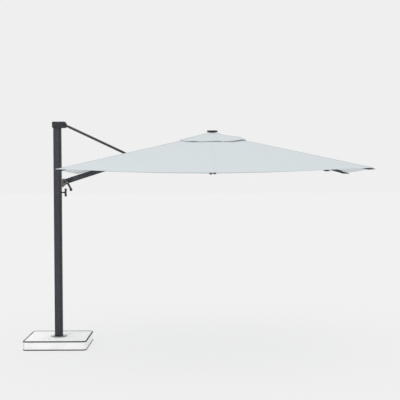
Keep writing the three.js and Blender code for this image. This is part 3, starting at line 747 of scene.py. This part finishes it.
def seam(name, body, point_at, stations, shares):
    """A stitched tape over a rib's line that follows the cloth on both sides of it."""
    reaches = [(hem_point(edge) - hem_point(stations[1])).length for edge in (stations[0], stations[2])]
    grid = []
    normals = []
    uvs = []
    run = 0.0
    for index, share in enumerate(shares):
        acrosses = [offset / (reaches[0 if offset < 0 else 1] * share) for offset in TAPE_OFFSETS]
        row_normals = [surface_normal(point_at, stations, across, share) for across in acrosses]
        row_normals[2] = (row_normals[1] + row_normals[3]).normalized()
        row = [point_at(stations, across, share) for across in acrosses]
        grid.append([p + n * (TAPE_LIFT + TAPE) for p, n in zip(row, row_normals)])
        normals.append(row_normals)
        if index:
            run += (grid[-1][2] - grid[-2][2]).length
        uvs.append([(run, offset) for offset in TAPE_OFFSETS])
    thickness = [[TAPE] * len(TAPE_OFFSETS)] * len(shares)
    tape = shell(name, grid, normals, thickness, canvas_seam, uvs)
    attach(tape, body)


def evenly(start, end, steps):
    return [start + (end - start) * k / steps for k in range(steps + 1)]


def make_rib_seams():
    """A tape along every rib, on the main cloth and on the vent."""
    main_shares = evenly(MAIN_START, 1.0, 60)
    vent_shares = evenly(VENT_START, VENT_HALF / HALF, 20)
    for name, azimuth in RIBS.items():
        stations = stations_of(azimuth)
        seam(f"rib_seam_{name}", f"rib_{name}", main_point, stations, main_shares)
        seam(f"vent_seam_{name}", f"rib_{name}", vent_point, stations, vent_shares)


def outward_of(azimuth):
    angle = math.radians(azimuth)
    return Vector((math.cos(angle), math.sin(angle), 0))


def rib_frame(azimuth):
    """The rib's pivot, its tip, the direction across it and the one square to both, upwards."""
    outward = outward_of(azimuth)
    corner = azimuth % 90 != 0
    hem = CORNER_Z if corner else MID_Z
    reach = HALF * (math.sqrt(2) if corner else 1)
    gap = 0.0045 if corner else 0.0025  # between the rib's top face and the cloth
    tip_z = hem - (RIB_HALF_HEIGHT + gap) * math.hypot(1, (APEX_Z - hem) / reach)
    pivot = Vector((HUB_X, 0, RIB_PIVOT_Z)) + outward * RIB_PIVOT_RADIUS
    tip = Vector((HUB_X, 0, tip_z)) + outward * reach
    side = Vector((0, 0, 1)).cross(outward)
    up = (tip - pivot).cross(side).normalized()
    up = up if up.z > 0 else -up
    return pivot, tip, side, up


def boxed(form, centre, axes, size):
    """Adds a box centred at a point, with its edges along three directions."""
    edges = [axis * length for axis, length in zip(axes, size)]
    corners = []
    for sx in (-0.5, 0.5):
        for sy in (-0.5, 0.5):
            for sz in (-0.5, 0.5):
                corner = centre + edges[0] * sx + edges[1] * sy + edges[2] * sz
                corners.append(form.verts.new(corner))
    for quad in ((0, 1, 3, 2), (4, 6, 7, 5), (0, 4, 5, 1), (2, 3, 7, 6), (0, 2, 6, 4), (1, 5, 7, 3)):
        form.faces.new([corners[k] for k in quad])


def make_rib_straps():
    """Webbing loops that tie the cloth down to each rib."""
    across, down = STRAP_LOOP
    for name, azimuth in RIBS.items():
        pivot, tip, side, up = rib_frame(azimuth)
        axes = ((tip - pivot).normalized(), side, up)

        def build(form):
            for share in STRAP_SHARES:
                at = pivot.lerp(tip, share)
                under = at - up * (RIB_HALF_HEIGHT + STRAP * 2 / 3)
                boxed(form, under, axes, (STRAP_WIDTH, across + STRAP, STRAP))
                for hand in (-1, 1):
                    flank = at + side * (hand * across / 2)
                    boxed(form, flank, axes, (STRAP_WIDTH, STRAP, down))

        straps = from_bmesh(f"rib_straps_{name}", build, webbing)
        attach(straps, f"rib_{name}")


# ---- Rivets, bolts, trim and painted shade strips --------------------------------------------


def domed(radius, height):
    steps = ((1.0, 0.0), (1.0, 0.35), (0.86, 0.75), (0.5, 0.97), (0.03, 1.0))
    return [(radius * across, height * up) for across, up in steps]


def hexed(radius, height):
    steps = ((1.0, 0.0), (1.0, 0.85), (0.88, 1.0), (0.03, 1.0))
    return [(radius * across, height * up) for across, up in steps]


def heads(name, body, places, profile, material, sides=16):
    """Rivet or bolt heads, each at a point and facing a way, in one piece that rides on a body."""

    def build(form):
        for point, direction in places:
            turned_ring(form, profile, aimed(point, direction), sides)

    piece = from_bmesh(name, build, material)
    smooth_faces(piece, SMOOTH)
    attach(piece, body)
    return piece


def joint_place(name):
    for joint in frame["joints"]:
        if joint["name"] == name:
            return Vector(joint["pos_m"])
    raise KeyError(name)


def both_ends(pin, direction, reach):
    """A pin's two ends: a point at the given distance each way, and the way it faces."""
    return [(pin + direction * reach, direction), (pin - direction * reach, -direction)]


def make_rivets():
    """Dome rivets through the crown lugs, the stays' upper ends and their feet on the runner."""
    stay_half = 0.0105
    lug_half = 0.0122
    rivet = domed(0.0052, 0.0024)
    for name, azimuth in RIBS.items():
        outward = outward_of(azimuth)
        side = Vector((0, 0, 1)).cross(outward)
        crown = both_ends(joint_place(f"rib_{name}_hinge"), side, lug_half)
        stay = both_ends(joint_place(f"stay_{name}_hinge"), side, stay_half)
        foot = Vector((HUB_X, 0, RUNNER_PIN_Z)) + outward * RIB_PIVOT_RADIUS
        heads(f"crown_rivets_{name}", "arm", crown, rivet, steel)
        heads(f"stay_rivets_{name}", f"rib_{name}", stay, rivet, steel)
        heads(f"runner_rivets_{name}", f"stay_{name}", both_ends(foot, side, stay_half), rivet, steel)


def bolted(name, body, pin, reach, bolt, washer):
    """A hexagon head at each end of a cross pin, and a washer just under it where there is one."""
    y = Vector((0, 1, 0))
    heads(f"{name}_bolts", body, both_ends(pin, y, reach), hexed(*bolt), black_oxide, 6)
    if washer:
        radius, height, lower = washer
        ends = both_ends(pin, y, reach - lower)
        heads(f"{name}_washers", body, ends, domed(radius, height), black_oxide, 24)


def make_linkage_bolts():
    """Hexagon bolts through the mast's head, the arm's bracket and the tie rod's fork."""
    fork_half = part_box("tie_rod_fork")[1].y
    head_pin = joint_place("tie_rod_hinge")
    arm_pin = joint_place("arm_hinge")
    bolted("mast_head", "mast", head_pin, 0.0400, (0.0105, 0.0055), (0.0135, 0.0016, 0.0002))
    bolted("bracket", "carriage", arm_pin, 0.0270, (0.0105, 0.0060), (0.0140, 0.0020, 0.0016))
    bolted("fork", "tie_rod", FORK_PIN, fork_half, (0.0080, 0.0050), None)


def make_small_screws():
    """The crank's cap screw and the four screws that hold the arm's bracket."""
    front = Vector((0, -1, 0))
    cap = joint_place("crank_turn") + front * 0.0588
    heads("crank_cap_screw", "crank", [(cap, front)], domed(0.0062, 0.0028), steel, 20)
    low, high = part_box("arm_bracket")
    inset = 0.014
    screws = []
    for z in (low.z + inset, high.z - inset):
        for hand in (1, -1):
            screws.append((Vector((low.x + 0.0072, hand * 0.0272, z)), Vector((1, 0, 0))))
    heads("bracket_screws", "carriage", screws, domed(0.0022, 0.0012), steel, 14)


def make_finial_rim():
    """A moulded rim that wraps the cap's edge."""
    rim = ((0.0570, 2.3530), (0.0594, 2.3550), (0.0596, 2.3660), (0.0575, 2.3695), (0.0530, 2.3672))

    def build(form):
        turned_ring(form, rim, Matrix.Translation((HUB_X, 0, 0)), 48)

    piece = from_bmesh("finial_rim", build, black_plastic)
    smooth_faces(piece, SMOOTH)
    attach(piece, "arm")


def make_mast_shade_strips():
    """Painted shade: dark strips down the extrusion where its edges and its slotted side face fall in shade, a
    wide and a narrow one on each long face and two on the slot's lips.
    """
    low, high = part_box("mast_profile")
    axes = (Vector((1, 0, 0)), Vector((0, 1, 0)), Vector((0, 0, 1)))
    bottom = low.z + 0.075
    top = high.z - 0.062
    strips = ((-0.0345, 0.005), (0.0280, 0.013))  # each one's middle along X, and its width
    proud = 0.0002
    side_shade_middle = 0.0175
    side_shade_width = 0.010
    side_shade_depth = 0.0008
    middle = (bottom + top) / 2

    def build(form):
        for hand in (1, -1):
            for x, width in strips:
                centre = Vector((x, hand * (high.y + proud), middle))
                boxed(form, centre, axes, (width, 0.0012, top - bottom))
            centre = Vector((high.x, hand * side_shade_middle, middle))
            boxed(form, centre, axes, (side_shade_depth, side_shade_width, top - bottom))

    # Painted shade: these dark strips stand for the shade on the mast's edges and on its slotted side face.
    shade_strips = from_bmesh("mast_painted_shade_strips", build, black_plastic)
    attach(shade_strips, "mast")


def rounded_loop(half, corner, z, steps=8):
    """A square loop with rounded corners at a height."""
    points = []
    for k, (cx, cy) in enumerate(((1, 1), (-1, 1), (-1, -1), (1, -1))):
        for step in range(steps + 1):
            angle = math.pi / 2 * (k + step / steps)
            centre = Vector((cx * (half - corner), cy * (half - corner), z))
            points.append(centre + Vector((corner * math.cos(angle), corner * math.sin(angle), 0)))
    return points


def bead(form, points, radius, sides=8):
    """A round bead along a closed loop of points."""
    rings = []
    count = len(points)
    for index, point in enumerate(points):
        ahead = (points[(index + 1) % count] - points[index - 1]).normalized()
        out = ahead.cross(Vector((0, 0, 1))).normalized()
        up = out.cross(ahead)
        ring = []
        for k in range(sides):
            angle = 2 * math.pi * k / sides
            spoke = out * math.cos(angle) + up * math.sin(angle)
            ring.append(form.verts.new(point + spoke * radius))
        rings.append(ring)
    for low, high in zip(rings, rings[1:] + rings[:1]):
        for k in range(sides):
            form.faces.new((low[k], low[(k + 1) % sides], high[(k + 1) % sides], high[k]))


def make_slab_edging():
    """Rubber edging round the slab's top and foot, and a moulded rod up three of its corners."""
    low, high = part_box("base_slab")
    radius = 0.0075
    inset = 0.0035
    corner = 0.0385
    rod_inset = 0.0135
    rod = ((0.003, -0.044), (0.004, -0.042), (0.004, 0.042), (0.003, 0.044))

    def build(form):
        bead(form, rounded_loop(high.x - inset, corner, high.z - inset), radius)
        bead(form, rounded_loop(high.x - inset, corner, low.z + radius + 0.0002), radius)
        for cx, cy in ((-1, -1), (-1, 1), (1, 1)):
            along = high.x - rod_inset
            at = Vector((cx * along, cy * along, (low.z + high.z) / 2))
            turned_ring(form, rod, Matrix.Translation(at), 10)

    edging = from_bmesh("slab_edging", build, rubber, smooth=True)
    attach(edging, "base")


def make_collar_trim():
    """A rubber seal round the collar's foot and four screws in its top."""
    slab_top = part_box("base_slab")[1].z
    collar_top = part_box("base_collar")[1]
    seal_radius = collar_top.x + 0.0016
    screw_radius = 0.069

    def seal(form):
        turns = [math.radians(7.5 * k) for k in range(48)]
        ring = [Vector((math.cos(a), math.sin(a), 0)) * seal_radius for a in turns]
        bead(form, [point + Vector((0, 0, slab_top + 0.0034)) for point in ring], 0.0036)

    ring = from_bmesh("collar_seal", seal, rubber, smooth=True)
    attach(ring, "base")
    up = Vector((0, 0, 1))
    screws = []
    for azimuth in (45, 135, 225, 315):
        screws.append((outward_of(azimuth) * screw_radius + up * (collar_top.z - 0.0002), up))
    heads("collar_screws", "base", screws, domed(0.0042, 0.0020), steel)


# ---- Stage -----------------------------------------------------------------------------------


def make_stage():
    """A pale floor that glows enough to match the backdrop, and the backdrop itself."""
    mesh = bpy.data.meshes.new("floor")
    reach = 90
    corners = [(-reach, -reach, 0), (reach, -reach, 0), (reach, reach, 0), (-reach, reach, 0)]
    mesh.from_pydata(corners, [], [(0, 1, 2, 3)])
    paint = Paint("studio_floor", FLOOR_COLOR, 1.0, specular=0.0)
    paint.shader.inputs["Emission Color"].default_value = (1, 1, 1, 1)
    paint.shader.inputs["Emission Strength"].default_value = FLOOR_GLOW
    mesh.materials.append(paint.material)
    floor = bpy.data.objects.new("floor", mesh)
    floor.location.z = -0.0005
    bpy.context.scene.collection.objects.link(floor)
    world = bpy.data.worlds.new("studio")
    world.use_nodes = True
    light_the_studio(world.node_tree)
    bpy.context.scene.world = world
    return floor


def light_the_studio(tree):
    """An even pale backdrop all round that grows brighter overhead."""
    place = tree.nodes.new("ShaderNodeTexCoord")
    axes = tree.nodes.new("ShaderNodeSeparateXYZ")
    level = tree.nodes.new("ShaderNodeMapRange")
    level.interpolation_type = "SMOOTHSTEP"
    level.inputs["From Min"].default_value = 0.25
    level.inputs["From Max"].default_value = 0.95
    level.inputs["To Min"].default_value = BACKDROP
    level.inputs["To Max"].default_value = OVERHEAD
    tree.links.new(place.outputs["Generated"], axes.inputs["Vector"])
    tree.links.new(axes.outputs["Z"], level.inputs["Value"])
    tree.links.new(level.outputs["Result"], tree.nodes["Background"].inputs["Strength"])
    tree.nodes["Background"].inputs["Color"].default_value = (1, 1, 1, 1)


def area_light(name, place, target, size, power, floor):
    """A round soft lamp that lights everything but the floor."""
    data = bpy.data.lights.new(name, "AREA")
    data.shape = "DISK"
    data.size = size
    data.energy = power
    lamp = bpy.data.objects.new(name, data)
    lamp.matrix_world = aimed(place, Vector(place) - Vector(target))
    bpy.context.scene.collection.objects.link(lamp)
    lit = bpy.data.collections.new(f"{name}_skips")
    lit.objects.link(floor)
    lamp.light_linking.receiver_collection = lit
    lit.collection_objects[0].light_linking.link_state = "EXCLUDE"


def make_lights(floor):
    area_light("key", (-4.0, -7.0, 6.5), (1.4, 0, 1.6), 3.0, KEY_POWER, floor)
    area_light("back", (2.0, 7.5, 6.0), (1.6, 0, 1.8), 4.0, BACK_POWER, floor)


# ---- Putting it together ---------------------------------------------------------------------

bpy.context.scene.view_settings.view_transform = "Standard"
make_camera()
stage_floor = make_stage()
make_lights(stage_floor)
finish_nodes()
make_canopy()
make_rib_seams()
make_rib_straps()
make_rivets()
make_linkage_bolts()
make_small_screws()
make_finial_rim()
# Painted shade: dark strips down the mast's edges and its slotted side.
make_mast_shade_strips()
make_slab_edging()
make_collar_trim()

bpy.context.view_layer.update()
